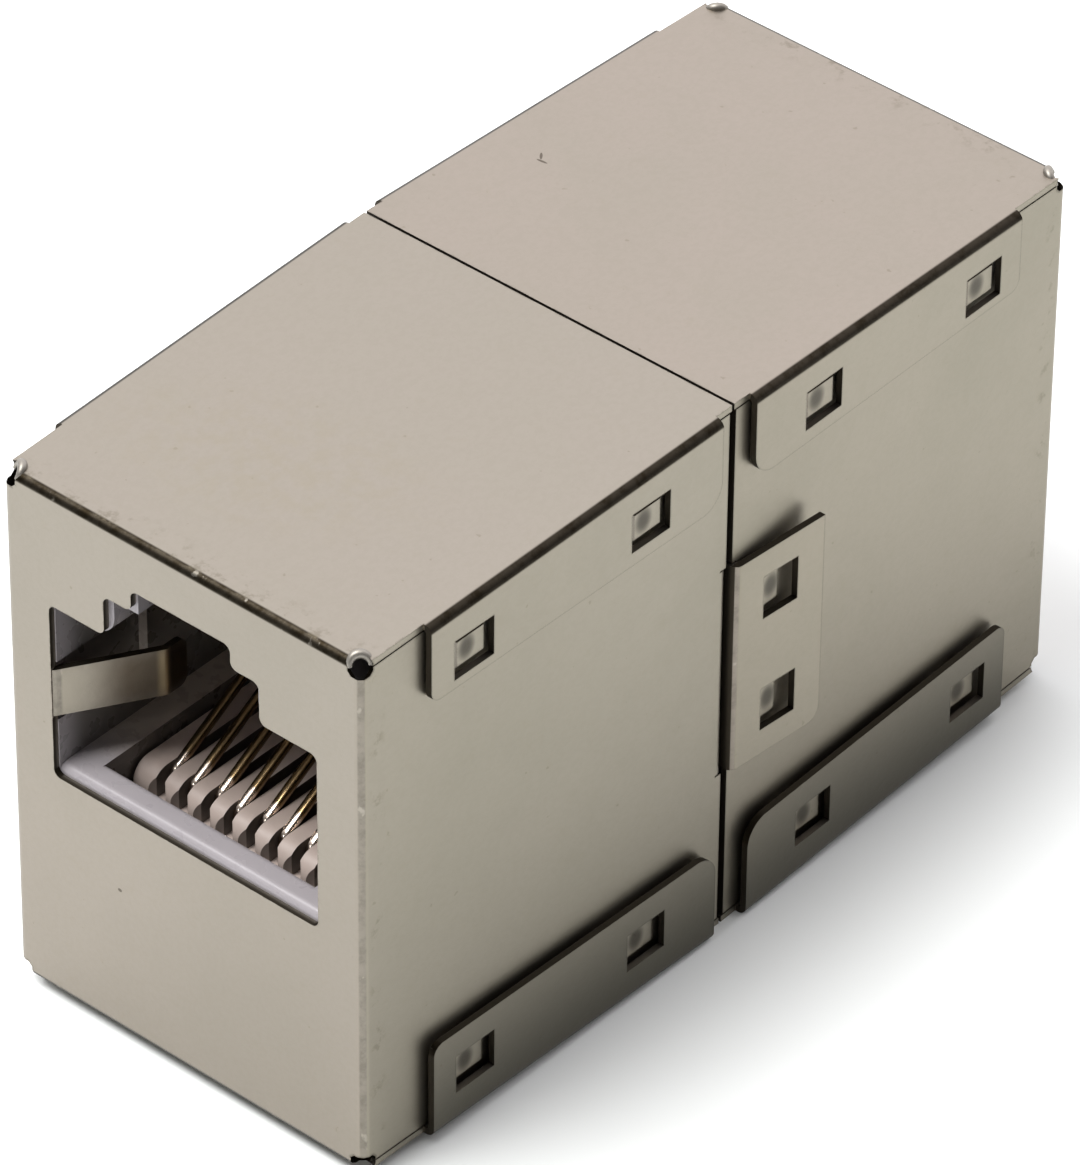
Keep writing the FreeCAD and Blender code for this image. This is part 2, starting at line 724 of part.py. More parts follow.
# ---- carrier that holds the contacts ----
def mould_carrier(label):
    """Insert in the well of the housing, with a slot for each contact."""
    carrier = new_body(label)
    side = "(well_width / 2 - carrier_fit)"
    front = at_depth("sheet + sill_width + groove_width")
    back, top = at_depth("cavity_depth - carrier_fit"), at_level("carrier_level")
    extrude(carrier, "Pad", outline(carrier, "insert", "XY_Plane", at_level("board_top"),
                                    rectangle("-" + side, side, front, back)),
            "carrier_level - board_top")
    nose_y, nose_z = value(front), value(top)
    round_edges(carrier, "nose", "nose_radius", lambda edge: (
        spans(edge, "x") and near(edge.CenterOfMass.y, nose_y) and near(edge.CenterOfMass.z, nose_z)))
    extrude(carrier, "Pad", outline(carrier, "comb", "XY_Plane", top, rectangle(
        "-" + side, side, at_depth("comb_depth"), back)), "comb_level - carrier_level")
    slot_end = at_depth("tail_depth + tail_row + slot / 2")
    first = contact_across(1)
    slots = [
        extrude(carrier, "Pocket", outline(carrier, "slot", "XY_Plane", top, [
            (first + " - slot / 2 - nose_chamfer", front),
            (first + " + slot / 2 + nose_chamfer", front),
            (first + " + slot / 2", front + " + nose_chamfer"),
            (first + " + slot / 2", slot_end),
            (first + " - slot / 2", slot_end),
            (first + " - slot / 2", front + " + nose_chamfer"),
        ]), "carrier_level - wire_level + wire / 2", along_normal=False),
        extrude(carrier, "Pocket", outline(carrier, "notch", "XY_Plane", at_level("comb_level"),
                                           rectangle(first + " - slot / 2", first + " + slot / 2",
                                                     at_depth("comb_depth"), back)),
                "comb_notch", along_normal=False),
    ]
    repeat_along_x(carrier, "all_slots", slots, "pitch", CONTACTS)
    passes = [
        extrude(carrier, "Pocket", outline(carrier, "pass_%d" % number, "XY_Plane", top, rectangle(
            contact_across(number) + " - slot / 2", contact_across(number) + " + slot / 2",
            tail_at(number) + " - tail_radius", tail_at(number) + " + slot / 2")),
                "carrier_level - board_top", along_normal=False)
        for number in (1, 2)
    ]
    repeat_along_x(carrier, "all_passes", passes, "pitch * 2", CONTACTS // 2)
    return carrier


# ---- circuit board ----
def cut_board(label):
    """Board that joins the two halves, drilled for the tails and the pegs."""
    board = new_body(label)
    end = "(half_length - board_setback)"
    extrude(board, "Pad", outline(board, "board", "XY_Plane", at_level("board_top"), rectangle(
        "-board_width / 2", "board_width / 2", "-" + end, end, "board_corner")),
            "board_thickness", along_normal=False)
    pin = "wire / sqrt(2)"
    under = at_level("board_top - board_thickness")
    for half, sign, numbers in (("front", "%s", (1, 2)), ("rear", "-(%s)", (CONTACTS, CONTACTS - 1))):
        tails = [prism(board, "Subtractive", "%s_tail_%d" % (half, number), 8, pin + " + hole_fit",
                       "board_thickness", (sign % contact_across(number), sign % tail_at(number),
                                           under)) for number in numbers]
        repeat_along_x(board, half + "_tails", tails, "pitch * 2", CONTACTS // 2)
        for side, across in (("left", "-peg_spread / 2"), ("right", "peg_spread / 2")):
            prism(board, "Subtractive", "%s_peg_%s" % (half, side), 8,
                  "peg_diameter / 2 + hole_fit", "board_thickness",
                  (across, sign % at_depth("peg_depth"), under))
    return board


# ---- both halves ----
bodies = [cut_board("circuit_board")]
for half, angle in (("front", 0), ("rear", 180)):
    made = [
        fold_case(half + "_shell"),
        mould_housing(half + "_housing"),
        mould_carrier(half + "_carrier"),
    ]
    made += [bend_contact("contact_%s_%d" % (half, number), number)
             for number in range(1, CONTACTS + 1)]
    for body in made:
        body.Placement = FreeCAD.Placement(Vector(), FreeCAD.Rotation(Vector(0, 0, 1), angle))
    bodies += made
doc.recompute()

for item in doc.Objects:
    if "Invalid" in item.State or "Error" in item.State:
        raise RuntimeError("%s did not build" % item.Name)
for body in bodies:
    if body.Shape.isNull() or not body.Shape.isValid() or body.Shape.Volume <= 0:
        raise RuntimeError("%s has no valid solid" % body.Label)
os.makedirs("parts", exist_ok=True)
for body in bodies:
    body.Shape.exportStep("parts/%s.step" % body.Label)
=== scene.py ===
"""Looks of the shielded RJ45 inline coupler: nickel-plated cases, pale mouldings, gilt contacts.

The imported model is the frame, in metres. X runs across the ports, Y from the front port (-Y) to
the rear port, and Z is up. Texture coordinates are object coordinates in millimetres.
"""

import json
import math

import bpy
from mathutils import Matrix, Vector

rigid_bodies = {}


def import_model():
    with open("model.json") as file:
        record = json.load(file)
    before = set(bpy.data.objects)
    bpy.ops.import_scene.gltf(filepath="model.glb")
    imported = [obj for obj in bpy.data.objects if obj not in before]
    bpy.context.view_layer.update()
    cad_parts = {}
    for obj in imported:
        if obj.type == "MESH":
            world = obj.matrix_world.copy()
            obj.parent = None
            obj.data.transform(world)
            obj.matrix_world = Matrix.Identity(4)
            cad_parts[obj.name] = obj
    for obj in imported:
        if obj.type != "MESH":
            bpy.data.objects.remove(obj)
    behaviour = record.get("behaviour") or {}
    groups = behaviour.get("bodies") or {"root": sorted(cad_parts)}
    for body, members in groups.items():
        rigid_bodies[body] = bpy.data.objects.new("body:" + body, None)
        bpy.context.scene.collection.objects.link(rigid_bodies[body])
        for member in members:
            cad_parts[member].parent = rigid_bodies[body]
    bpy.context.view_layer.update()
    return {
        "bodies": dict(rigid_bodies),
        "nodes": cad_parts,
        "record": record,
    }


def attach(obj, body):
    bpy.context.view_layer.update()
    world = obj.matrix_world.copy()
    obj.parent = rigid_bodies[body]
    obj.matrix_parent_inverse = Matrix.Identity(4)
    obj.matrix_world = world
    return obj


MM = 0.001

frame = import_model()


# ---- short ways to build a material ----
class Finish:
    """One procedural material: nodes are added by kind, and fed with values or with sockets."""

    def __init__(self, name):
        self.material = bpy.data.materials.new(name)
        self.material.use_nodes = True
        self.tree = self.material.node_tree
        self.shader = self.tree.nodes["Principled BSDF"]
        place = self.node("ShaderNodeTexCoord")
        scale = self.node("ShaderNodeVectorMath", operation="SCALE")
        self.feed(scale, 0, place.outputs["Object"])
        scale.inputs["Scale"].default_value = 1 / MM
        self.place = scale.outputs["Vector"]

    def node(self, kind, **settings):
        node = self.tree.nodes.new(kind)
        for key, setting in settings.items():
            setattr(node, key, setting)
        return node

    def feed(self, node, socket, source):
        """Link a socket to an input, or give the input a value."""
        if isinstance(source, bpy.types.NodeSocket):
            self.tree.links.new(source, node.inputs[socket])
        else:
            node.inputs[socket].default_value = source

    def noise(self, scale, detail=3.0, roughness=0.5, stretch=(1, 1, 1), turn=(0, 0, 0)):
        """Noise with `scale` features per millimetre."""
        mapping = self.node("ShaderNodeMapping")
        self.feed(mapping, "Vector", self.place)
        mapping.inputs["Rotation"].default_value = turn
        mapping.inputs["Scale"].default_value = stretch
        noise = self.node("ShaderNodeTexNoise")
        self.feed(noise, "Vector", mapping.outputs["Vector"])
        noise.inputs["Scale"].default_value = scale
        noise.inputs["Detail"].default_value = detail
        noise.inputs["Roughness"].default_value = roughness
        return noise.outputs["Fac"]

    def ramp(self, source, low, high, to_low=0.0, to_high=1.0):
        """Map a stretch of a value to another, smoothly and within its ends."""
        node = self.node("ShaderNodeMapRange", interpolation_type="SMOOTHSTEP")
        for socket, value in enumerate((source, low, high, to_low, to_high)):
            self.feed(node, socket, value)
        return node.outputs["Result"]

    def math(self, operation, first, second=0.0):
        node = self.node("ShaderNodeMath", operation=operation)
        self.feed(node, 0, first)
        self.feed(node, 1, second)
        return node.outputs["Value"]

    def size_of(self, value):
        return self.math("ABSOLUTE", value)

    def mix(self, factor, first, second, blend="MIX"):
        """Mix two colours."""
        node = self.node("ShaderNodeMix", data_type="RGBA", blend_type=blend)
        self.feed(node, 0, factor)
        for socket, colour in ((6, first), (7, second)):
            self.feed(node, socket, colour if isinstance(colour, bpy.types.NodeSocket)
                      else (*colour, 1.0))
        return node.outputs[2]

    def split(self, vector):
        """The three parts of a vector."""
        node = self.node("ShaderNodeSeparateXYZ")
        self.feed(node, 0, vector)
        return [node.outputs[axis] for axis in range(3)]

    def normal(self):
        """The three parts of the surface normal."""
        return self.split(self.node("ShaderNodeNewGeometry").outputs["Normal"])

    # A mask is 1 where it holds and 0 elsewhere, with a soft border.
    def over(self, value, limit, soft=0.02):
        return self.ramp(value, limit - soft, limit + soft)

    def under(self, value, limit, soft=0.02):
        return self.ramp(value, limit - soft, limit + soft, 1.0, 0.0)

    def within(self, value, low, high, soft=0.02):
        return self.every(self.over(value, low, soft), self.under(value, high, soft))

    def every(self, *masks):
        """Where all masks hold; a number among them makes the result fainter."""
        result = masks[0]
        for mask in masks[1:]:
            result = self.math("MULTIPLY", result, mask)
        return result

    def any(self, *masks):
        """Where one mask holds; a number among them is the least result."""
        result = masks[0]
        for mask in masks[1:]:
            result = self.math("MAXIMUM", result, mask)
        return result

    def without(self, mask):
        return self.math("SUBTRACT", 1.0, mask)

    def oval(self, first, second, centre, reach, turn=0.0, soft=0.3):
        """The inside of an oval on two coordinates, with half-lengths `reach`, turned by `turn`."""
        dx, dy = (self.math("SUBTRACT", value, middle)
                  for value, middle in zip((first, second), centre))
        cos, sin = math.cos(turn), math.sin(turn)
        along = self.math("ADD", self.math("MULTIPLY", dx, cos), self.math("MULTIPLY", dy, sin))
        aside = self.math("SUBTRACT",
                          self.math("MULTIPLY", dy, cos), self.math("MULTIPLY", dx, sin))
        far = self.math("ADD", self.math("POWER", self.math("DIVIDE", along, reach[0]), 2.0),
                        self.math("POWER", self.math("DIVIDE", aside, reach[1]), 2.0))
        return self.under(far, 1.0, soft)

    def edges(self, radius):
        """How sharply the surface turns within a radius in millimetres."""
        bevel = self.node("ShaderNodeBevel", samples=2)
        bevel.inputs["Radius"].default_value = radius * MM
        geometry = self.node("ShaderNodeNewGeometry")
        dot = self.node("ShaderNodeVectorMath", operation="DOT_PRODUCT")
        self.feed(dot, 0, bevel.outputs["Normal"])
        self.feed(dot, 1, geometry.outputs["Normal"])
        return self.without(dot.outputs["Value"])

    def bump(self, *layers):
        """Stack height layers, each (height, depth in millimetres)."""
        normal = None
        for height, depth in layers:
            node = self.node("ShaderNodeBump")
            node.inputs["Distance"].default_value = depth * MM
            self.feed(node, "Height", height)
            if normal:
                self.feed(node, "Normal", normal)
            normal = node.outputs["Normal"]
        self.feed(self.shader, "Normal", normal)

    def set(self, **sockets):
        """Feed the shader's own sockets, named with underscores for spaces."""
        for socket, source in sockets.items():
            self.feed(self.shader, socket.replace("_", " "), source)


# ---- the folded sheet ----
# Where it lies, in millimetres.
WALL_X, WALL_SPLAY = 7.90, 0.01386    # outer X of a side wall at a port face, and its splay
END = 18.10                           # Y of the port faces
BEND_LEVELS = (1.1, 21.2)             # between these, a side wall is clear of the long bends
FLAP_LEVELS = (2.60, 17.0)   # between these, an edge that faces up belongs to a flange or the tab
PORT_HALF, PORT_LEVELS = 6.30, (9.70, 20.40)    # half the width of a port, and its reach in Z
TONGUE_LEVELS = (12.50, 14.60)        # the tongues of the sheet that fold into a port
# bumps in the windows of the flanges and the tab: distance from the seam, and level
BUMPS = ((13.10, 20.11), (4.45, 20.30), (13.10, 2.44), (4.45, 2.25), (2.26, 13.65), (2.26, 8.80))
TAB_REACH = 3.0                       # the tab's bumps lie nearer to the seam than this

# How much of its normal a surface turns to an axis, at least.
FLAT_FACE, CUT_EDGE = 0.90, 0.80


class Sheet(Finish):
    """The finish of the sheet: a tone that is tinted in steps, and what those steps share."""

    def __init__(self, name):
        super().__init__(name)
        self.x, self.y, self.z = self.split(self.place)
        self.across, self.along = self.size_of(self.x), self.size_of(self.y)
        self.depth = self.math("SUBTRACT", END, self.along)
        wall = self.math("ADD", WALL_X, self.math("MULTIPLY", self.depth, WALL_SPLAY))
        self.proud = self.math("SUBTRACT", self.across, wall)

        self.turns = [self.size_of(part) for part in self.normal()]
        turn_x, turn_y, turn_z = self.turns
        self.on_side = self.every(self.over(turn_x, FLAT_FACE), self.over(self.across, 7.0))
        self.on_top = self.every(self.over(turn_z, FLAT_FACE), self.over(self.z, 20.0))
        self.on_end = self.every(self.over(turn_y, FLAT_FACE), self.over(self.along, 18.0))
        self.at_front = self.under(self.y, 0.0, 0.05)
        self.at_rear = self.over(self.y, 0.0, 0.05)

        self.clouds = self.noise(0.16, detail=5.0, roughness=0.6)
        self.grain = self.noise(4.5, detail=5.0, roughness=0.7, stretch=(1.0, 0.7, 1.0))
        self.blotch = self.noise(1.3, detail=4.0, roughness=0.65)
        self.breaks = self.noise(1.5, detail=4.0, roughness=0.7)
        self.tone = self.mix(self.at_rear, (0.289, 0.261, 0.222), (0.297, 0.261, 0.223))

    def tint(self, mask, colour, blend="MIX"):
        """Lay a colour over the tone where a mask holds."""
        self.tone = self.mix(mask, self.tone, colour, blend)

    def bend(self, first, second, low, high):
        """Where the sheet bends from one axis to another."""
        return self.ramp(self.math("MULTIPLY", self.turns[first], self.turns[second]), low, high)


def tint_mottle(sheet):
    """Soft clouds, fine grain, blotches and a few dark flecks."""
    sheet.tint(sheet.ramp(sheet.clouds, 0.35, 0.70, 0.0, 0.30), (0.277, 0.257, 0.213))
    sheet.tint(sheet.ramp(sheet.grain, 0.40, 0.62, 0.0, 0.16), (0.239, 0.216, 0.176))
    sheet.tint(sheet.ramp(sheet.blotch, 0.56, 0.74, 0.0, 0.18), (0.266, 0.236, 0.186))
    flecks = sheet.ramp(sheet.noise(2.6, detail=2.0, roughness=0.4), 0.75, 0.785, 0.0, 0.40)
    sheet.tint(flecks, (0.17, 0.14, 0.10))


def tint_bends(sheet):
    """Painted shade along the bends and sharp edges, for the dark they reflect, broken by bright
    rubbed spots.
    """
    long_bend = sheet.bend(0, 2, 0.08, 0.30)
    end_bend = sheet.bend(1, 2, 0.08, 0.30)
    post_bend = sheet.bend(0, 1, 0.25, 0.45)
    edge_shade = sheet.every(sheet.edges(0.11),
                       sheet.any(sheet.ramp(sheet.breaks, 0.46, 0.60), sheet.on_side))
    # Painted shade: sharp edges darkened where the breaks noise is high and on the side walls.
    sheet.tint(sheet.ramp(edge_shade, 0.02, 0.16, 0.0, 0.70), (0.050, 0.040, 0.026))
    bend_shade = sheet.any(
        sheet.every(long_bend, sheet.ramp(sheet.breaks, 0.30, 0.60, 0.99, 0.93)),
        sheet.every(end_bend, sheet.ramp(sheet.breaks, 0.34, 0.60, 0.99, 0.93)),
        sheet.every(post_bend, sheet.ramp(sheet.breaks, 0.30, 0.60, 0.40, 0.15)))
    # Painted shade: a near-black line along the bends, standing in for their dark reflection.
    sheet.tint(bend_shade, (0.014, 0.010, 0.005))
    spots = sheet.noise(2.2, detail=3.0, stretch=(1.0, 1.0, 0.6))
    rubbed = sheet.every(sheet.any(sheet.every(end_bend, 0.5), post_bend),
                         sheet.ramp(spots, 0.65, 0.71, 0.0, 0.60))
    sheet.tint(rubbed, (0.38, 0.35, 0.30))


def tint_faces(sheet):
    """Smudges beside the bends, painted shade on the side walls, and painted light on the port
    faces.
    """
    smudge = sheet.any(
        sheet.every(sheet.on_top, sheet.ramp(sheet.depth, 0.35, 1.5, 1.0, 0.0),
                    sheet.ramp(sheet.breaks, 0.52, 0.68)),
        sheet.every(sheet.on_side, sheet.within(sheet.depth, 0.45, 1.0, 0.2),
                    sheet.ramp(sheet.blotch, 0.56, 0.66, 0.0, 0.8)))
    sheet.tint(sheet.every(smudge, 0.45), (0.13, 0.11, 0.075))
    # Painted shade: the side walls darker and warmer than the top, more so on the rear half.
    for half, colour in ((sheet.at_rear, (0.925, 0.945, 0.885)),
                         (sheet.at_front, (0.975, 0.98, 0.935))):
        sheet.tint(sheet.every(sheet.on_side, half), colour, blend="MULTIPLY")
    # Painted light: the port faces lighter, most near the bottom.
    sheet.tint(sheet.every(sheet.on_end, sheet.ramp(sheet.z, 2.0, 22.0, 1.0, 0.15)),
               (1.10, 1.08, 1.09), blend="MULTIPLY")


def tint_marks(sheet):
    """A tick on the rear top, a pit on a port face, and a stain on the front top."""
    tick = sheet.every(sheet.on_top, sheet.any(
        sheet.oval(sheet.x, sheet.y, (-5.95, 6.55), (0.20, 0.05), turn=-0.9),
        sheet.oval(sheet.x, sheet.y, (-5.72, 6.33), (0.22, 0.05), turn=0.1)))
    pit = sheet.every(sheet.on_end, sheet.oval(sheet.x, sheet.z, (-3.04, 6.65), (0.09, 0.07)))
    sheet.tint(sheet.every(sheet.any(tick, pit), 0.8), (0.07, 0.055, 0.04))
    stain = sheet.every(
        sheet.on_top, sheet.ramp(sheet.blotch, 0.40, 0.62),
        sheet.oval(sheet.x, sheet.y, (-1.5, -12.2), (5.2, 3.0), turn=0.2, soft=0.9))
    sheet.tint(sheet.every(stain, 0.30), (0.27, 0.24, 0.18))


def tint_bumps(sheet):
    """Painted shade on each bump, on its side towards the front port, for the shading of a dome."""
    nearer = sheet.math("ADD", sheet.along,
                        sheet.math("MULTIPLY", 0.20, sheet.math("SIGN", sheet.y)))
    tab_wall = sheet.over(sheet.math("MULTIPLY", sheet.x, sheet.y), 0.0, 0.1)
    dome_shade = sheet.any(*(
        sheet.every(sheet.oval(nearer, sheet.z, (along, level + 0.08), (0.36, 0.44), soft=1.0),
                    1.0 if along > TAB_REACH else tab_wall)
        for along, level in BUMPS))
    # Painted shade: a dark oval on the front side of each bump.
    sheet.tint(sheet.every(dome_shade, sheet.on_side, 0.80), (0.026, 0.022, 0.016))


def tint_shade(sheet):
    """Painted shade on the lower flanges, in the shade of the part, and on the tongues, in that of
    the port, with a painted highlight across each tongue's fold.
    """
    lower = sheet.every(sheet.on_side, sheet.over(sheet.proud, 0.30),
                        sheet.ramp(sheet.z, 0.0, 5.6, 0.85, 0.40), sheet.under(sheet.z, 5.2, 0.3))
    sheet.tint(lower, (0.068, 0.064, 0.049))
    on_tongue = sheet.every(sheet.within(sheet.z, *TONGUE_LEVELS, 0.6),
                            sheet.over(sheet.depth, 0.30, 0.05),
                            sheet.under(sheet.across, 6.6, 0.1))
    # Painted shade: the tongues darken with depth into the port.
    tongue = sheet.mix(sheet.ramp(sheet.depth, 0.9, 2.4), (0.31, 0.28, 0.23), (0.14, 0.115, 0.085))
    # Painted highlight: a bright band across each tongue's fold.
    tongue = sheet.mix(sheet.within(sheet.depth, 3.15, 3.50, 0.12), tongue, (0.36, 0.29, 0.18))
    # Painted shade: darker still past the fold.
    tongue = sheet.mix(sheet.over(sheet.depth, 3.60, 0.10), tongue, (0.085, 0.062, 0.038))
    sheet.tint(on_tongue, tongue)


def cut_edges_and_gap_shade(sheet):
    """Where the sheet shows its cut edge, dark partly by its own colour and partly as painted shade
    of the gaps beside it: flanges, windows, tab, port outline, tongues and seam.
    """
    _, turn_y, turn_z = sheet.turns
    ends, levels = sheet.over(turn_y, CUT_EDGE), sheet.over(turn_z, CUT_EDGE)
    level_edge = sheet.every(levels, sheet.within(sheet.z, *BEND_LEVELS),
                             sheet.any(sheet.within(sheet.z, *FLAP_LEVELS), 0.35))
    flaps = sheet.every(sheet.over(sheet.proud, 0.04, 0.01), sheet.any(ends, level_edge))
    tongue_root = sheet.every(sheet.within(sheet.z, *TONGUE_LEVELS), sheet.over(sheet.across, 5.0))
    port = sheet.every(sheet.ramp(sheet.along, 17.86, 18.02, 0.40, 1.0),
                       sheet.over(sheet.along, 17.80), sheet.under(sheet.across, PORT_HALF),
                       sheet.within(sheet.z, *PORT_LEVELS), sheet.under(turn_y, 0.30),
                       sheet.without(tongue_root))
    low, high = TONGUE_LEVELS
    tongue = sheet.every(levels, sheet.over(sheet.along, 12.0),
                         sheet.within(sheet.z, low - 0.5, high + 0.5),
                         sheet.under(sheet.across, 7.0))
    seam = sheet.every(ends, sheet.under(sheet.along, 0.40))
    return sheet.any(flaps, port, tongue, seam)


def nickel_plate():
    """Satin nickel over rolled sheet: cloudy tone, fine grain, dark cut edges with painted shade of
    the gaps beside them, and painted shade along the bends.
    """
    sheet = Sheet("nickel_plate")
    for tint in (tint_mottle, tint_bends, tint_faces, tint_marks, tint_bumps, tint_shade):
        tint(sheet)
    cut_edge_and_gap_shade = cut_edges_and_gap_shade(sheet)
    # Painted shade: cut edges and the gaps beside them near black.
    sheet.tint(sheet.every(cut_edge_and_gap_shade, 0.92), (0.030, 0.024, 0.016))
    sheet.set(Base_Color=sheet.tone, Metallic=1.0,
              Roughness=sheet.math("ADD", sheet.ramp(sheet.clouds, 0.3, 0.7, 0.36, 0.42),
                                   sheet.math("MULTIPLY", cut_edge_and_gap_shade, 0.2)))
    scratches = sheet.noise(2.4, detail=2.0, stretch=(1.0, 0.05, 1.0), turn=(0.5, 0.3, 0.6))
    sheet.bump((sheet.grain, 0.006), (sheet.clouds, 0.04),
               (sheet.ramp(scratches, 0.68, 0.74), -0.0012))
    return sheet.material


def rubbed_nickel():
    """Plating rubbed bright on a lip of the sheet."""
    finish = Finish("rubbed_nickel")
    finish.set(Base_Color=finish.mix(finish.noise(5.0), (0.33, 0.31, 0.28), (0.24, 0.22, 0.19)),
               Metallic=1.0, Roughness=0.5)
    return finish.material


# ---- what the cases hold ----
def pale_plastic(name, colour, inner, roughness):
    """Moulded plastic with a faint mottle, with painted light that makes it lighter and warmer in
    the depth of a port, and painted shade on the port's walls.
    """
    finish = Finish(name)
    flow = finish.noise(0.6, detail=3.0)
    fine = finish.noise(1.6, detail=2.0)
    along = finish.size_of(finish.split(finish.place)[1])
    depth = finish.math("SUBTRACT", END, along)
    # Painted light: the plastic lighter and warmer deeper in the port.
    colour = finish.mix(finish.ramp(depth, 1.0, 3.6), colour, inner)
    # Painted shade: the port's upright walls darkened, more so deeper in.
    wall_shade = finish.over(finish.size_of(finish.normal()[0]), 0.70, 0.1)
    colour = finish.mix(finish.every(wall_shade, finish.ramp(depth, 0.4, 1.6, 0.45, 0.85)), colour,
                        (0.045, 0.040, 0.033))
    colour = finish.mix(finish.ramp(flow, 0.3, 0.7, 0.0, 0.05), colour, (0.10, 0.09, 0.08))
    finish.set(Base_Color=colour,
               Roughness=finish.ramp(fine, 0.3, 0.7, roughness - 0.05, roughness + 0.05))
    finish.bump((flow, 0.01))
    return finish.material


def gilt_wire():
    """Gold plating over a drawn wire, its tone darkened as painted shade of the dark port, with a
    painted glint where it bends nearest the port face.
    """
    finish = Finish("gilt_wire")
    drawn = finish.noise(3.0, detail=3.0, stretch=(1.0, 0.2, 1.0))
    # Painted shade: the gold is darkened for the dark port around it.
    tone = finish.mix(drawn, (0.30, 0.21, 0.11), (0.20, 0.14, 0.07))
    along = finish.size_of(finish.split(finish.place)[1])
    # Painted glint: the wire turns pale where it bends nearest the port face.
    tone = finish.mix(finish.ramp(along, 14.14, 14.36), tone, (0.80, 0.68, 0.58))
    finish.set(Base_Color=tone, Metallic=1.0,
               Roughness=finish.ramp(drawn, 0.3, 0.7, 0.14, 0.24))
    finish.bump((drawn, 0.003))
    return finish.material


def green_laminate():
    """Solder mask over a woven glass laminate."""
    finish = Finish("green_laminate")
    weave = finish.noise(3.5, detail=1.0, stretch=(1.0, 1.0, 0.2))
    finish.set(Base_Color=finish.mix(weave, (0.02, 0.16, 0.06), (0.03, 0.24, 0.10)),
               Roughness=0.35)
    finish.bump((weave, 0.006))
    return finish.material


FINISHES = {
    "case_sheet": nickel_plate(),
    "port_plastic": pale_plastic("port_plastic", colour=(0.335, 0.310, 0.326),
                                 inner=(0.42, 0.365, 0.320), roughness=0.30),
    "carrier_plastic": pale_plastic("carrier_plastic", colour=(0.54, 0.45, 0.405),
                                    inner=(0.56, 0.46, 0.41), roughness=0.42),
    "contact_wire": gilt_wire(),
    "board_laminate": green_laminate(),
}

for part in frame["record"]["subparts"]:
    mesh = frame["nodes"][part["node"]].data
    mesh.materials.clear()
    mesh.materials.append(FINISHES[part["material_slot"]])


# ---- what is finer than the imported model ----
WIRE_ROUND = 0.11     # on the corners of a contact's square wire, in millimetres
WELD_REACH = 0.001


def round_wire(wire):
    """Round the corners of a contact's square wire."""
    mesh = wire.data
    mesh.normals_split_custom_set([(0, 0, 0)] * len(mesh.loops))
    mesh.polygons.foreach_set("use_smooth", [True] * len(mesh.polygons))
    weld = wire.modifiers.new("weld", "WELD")
    weld.merge_threshold = WELD_REACH * MM
    bevel = wire.modifiers.new("bevel", "BEVEL")
    bevel.width = WIRE_ROUND * MM
    bevel.segments = 3
    bevel.limit_method = "ANGLE"
    bevel.angle_limit = math.radians(60)


for name, node in frame["nodes"].items():
    if name.startswith("contact"):
        round_wire(node)

# The lips over the relief holes, in millimetres and degrees.
LIP_LEVEL = 22.05                     # Z of the corner that a lip is placed from
LIP_RECESS, LIP_RISE = 0.53, 0.10     # from that corner inwards, and up
LIP_RING, LIP_THICKNESS = 0.34, 0.17  # radius of the arc, and of its section
LIP_START, LIP_SWEEP, LIP_STEPS = -8, 206, 14
LIP_TAPER = 0.45                      # share of its thickness that a lip keeps at its ends
LIP_FINISH = rubbed_nickel()
BODY = next(iter(frame["bodies"]))


def add_lip(name, across, ahead):
    """Turned-up lip over the relief hole at one of the top corners."""
    corner = Vector((across * WALL_X, ahead * END, LIP_LEVEL))
    outward = Vector((across, ahead, 1)).normalized()
    sideways = Vector((0, 0, 1)).cross(outward).normalized()
    upward = outward.cross(sideways)
    middle = corner - outward * LIP_RECESS + upward * LIP_RISE
    curve = bpy.data.curves.new(name, "CURVE")
    curve.dimensions = "3D"
    curve.bevel_depth = LIP_THICKNESS * MM
    curve.bevel_resolution = 4
    curve.use_fill_caps = True
    spline = curve.splines.new("POLY")
    spline.points.add(LIP_STEPS)
    for step, point in enumerate(spline.points):
        angle = math.radians(LIP_START + LIP_SWEEP * step / LIP_STEPS)
        place = middle + (sideways * math.cos(angle) + upward * math.sin(angle)) * LIP_RING
        point.co = (*(place * MM), 1.0)
        point.radius = LIP_TAPER + (1 - LIP_TAPER) * math.sin(math.pi * step / LIP_STEPS)
    lip = bpy.data.objects.new(name, curve)
    bpy.context.scene.collection.objects.link(lip)
    curve.materials.append(LIP_FINISH)
    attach(lip, BODY)


for name, across, ahead in (("front_right", 1, -1), ("front_left", -1, -1),
                            ("rear_right", 1, 1), ("rear_left", -1, 1)):
    add_lip("relief_lip_" + name, across, ahead)


# ---- floor, light and camera ----
LIGHT_TARGET = (0, 0, 0.011)               # in metres
CAMERA_ANGLES = (40.67, 38.31, 0.586)      # azimuth, elevation and roll, in degrees
CAMERA_LEVEL = 11.23                       # Z that the camera is placed from, in millimetres
CAMERA_OFFSET = (-0.138, -0.422, 307.07)   # from there to the right, up and back
LENS = 277.3


def add_floor():
    bpy.ops.mesh.primitive_plane_add(size=3.0)
    floor = bpy.context.object
    floor.name = "floor"
    finish = Finish("floor_paper")
    finish.set(Base_Color=finish.mix(finish.noise(0.02), (0.84, 0.86, 0.85), (0.86, 0.88, 0.87)),
               Roughness=0.9)
    floor.data.materials.append(finish.material)


def add_light(name, place, size, power, colour=(1, 1, 1)):
    """Square soft box that faces the part, in metres and watts."""
    data = bpy.data.lights.new(name, "AREA")
    data.size = size
    data.energy = power
    data.color = colour
    light = bpy.data.objects.new(name, data)
    bpy.context.scene.collection.objects.link(light)
    light.location = place
    facing = Vector(LIGHT_TARGET) - Vector(place)
    light.rotation_euler = facing.to_track_quat("-Z", "Y").to_euler()


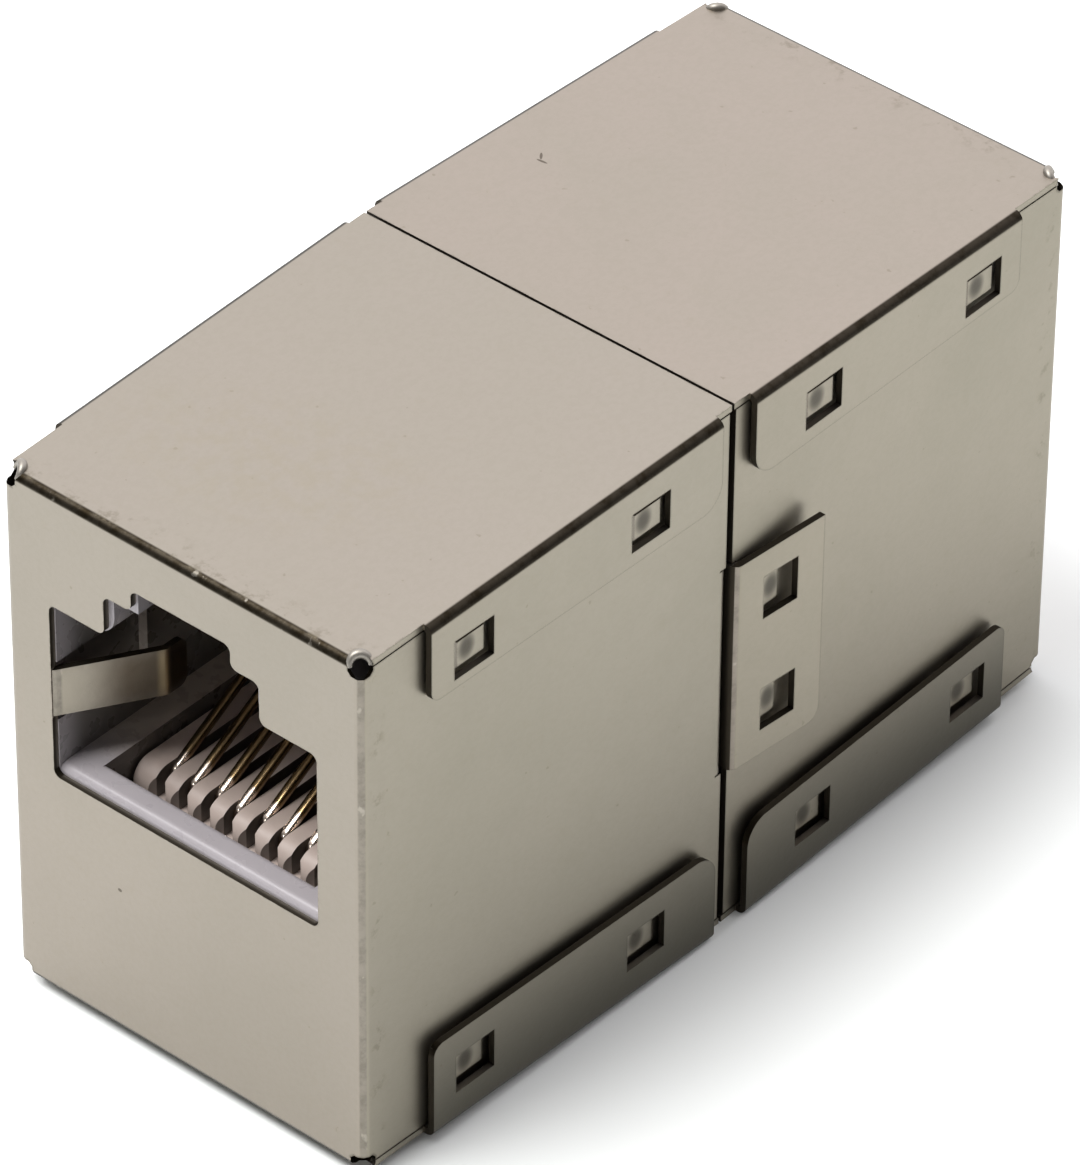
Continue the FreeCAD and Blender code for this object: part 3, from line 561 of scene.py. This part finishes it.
def add_camera():
    """Long lens from the front right and above."""
    azimuth, elevation, roll = (math.radians(angle) for angle in CAMERA_ANGLES)
    back = Vector((math.sin(azimuth) * math.cos(elevation),
                   -math.cos(azimuth) * math.cos(elevation), math.sin(elevation)))
    right = Vector((0, 0, 1)).cross(back).normalized()
    up = back.cross(right)
    right, up = (right * math.cos(roll) + up * math.sin(roll),
                 up * math.cos(roll) - right * math.sin(roll))
    aside, above, away = CAMERA_OFFSET
    place = Vector((0, 0, CAMERA_LEVEL * MM)) + (right * aside + up * above + back * away) * MM
    data = bpy.data.cameras.new("camera")
    data.sensor_width = 36.0
    data.lens = LENS
    data.clip_start = 0.01
    camera = bpy.data.objects.new("camera", data)
    camera.matrix_world = (Matrix.Translation(place)
                           @ Matrix((right, up, back)).transposed().to_4x4())
    bpy.context.scene.collection.objects.link(camera)
    bpy.context.scene.camera = camera


def add_sky():
    """Studio that is bright behind and above the part, and dim towards the camera."""
    world = bpy.data.worlds.new("studio")
    world.use_nodes = True
    nodes, links = world.node_tree.nodes, world.node_tree.links
    place = nodes.new("ShaderNodeTexCoord")
    towards = nodes.new("ShaderNodeVectorMath")
    towards.operation = "DOT_PRODUCT"
    towards.inputs[1].default_value = Vector((-0.45, 0.72, 0.53)).normalized()
    links.new(place.outputs["Generated"], towards.inputs[0])
    bright = nodes.new("ShaderNodeMapRange")
    bright.interpolation_type = "SMOOTHSTEP"
    links.new(towards.outputs["Value"], bright.inputs[0])
    for socket, value in enumerate((0.05, 0.75, 0.20, 1.77), start=1):
        bright.inputs[socket].default_value = value
    background = nodes["Background"]
    background.inputs["Color"].default_value = (1.0, 0.98, 1.0, 1.0)
    links.new(bright.outputs["Result"], background.inputs["Strength"])
    bpy.context.scene.world = world


add_sky()
add_floor()
add_light("key", (-0.12, -0.20, 0.50), size=0.26, power=3.6, colour=(0.985, 0.985, 0.975))
add_light("glint", (-0.165, -0.415, 0.225), size=0.05, power=0.07)
add_camera()
bpy.context.scene.view_settings.view_transform = "Standard"
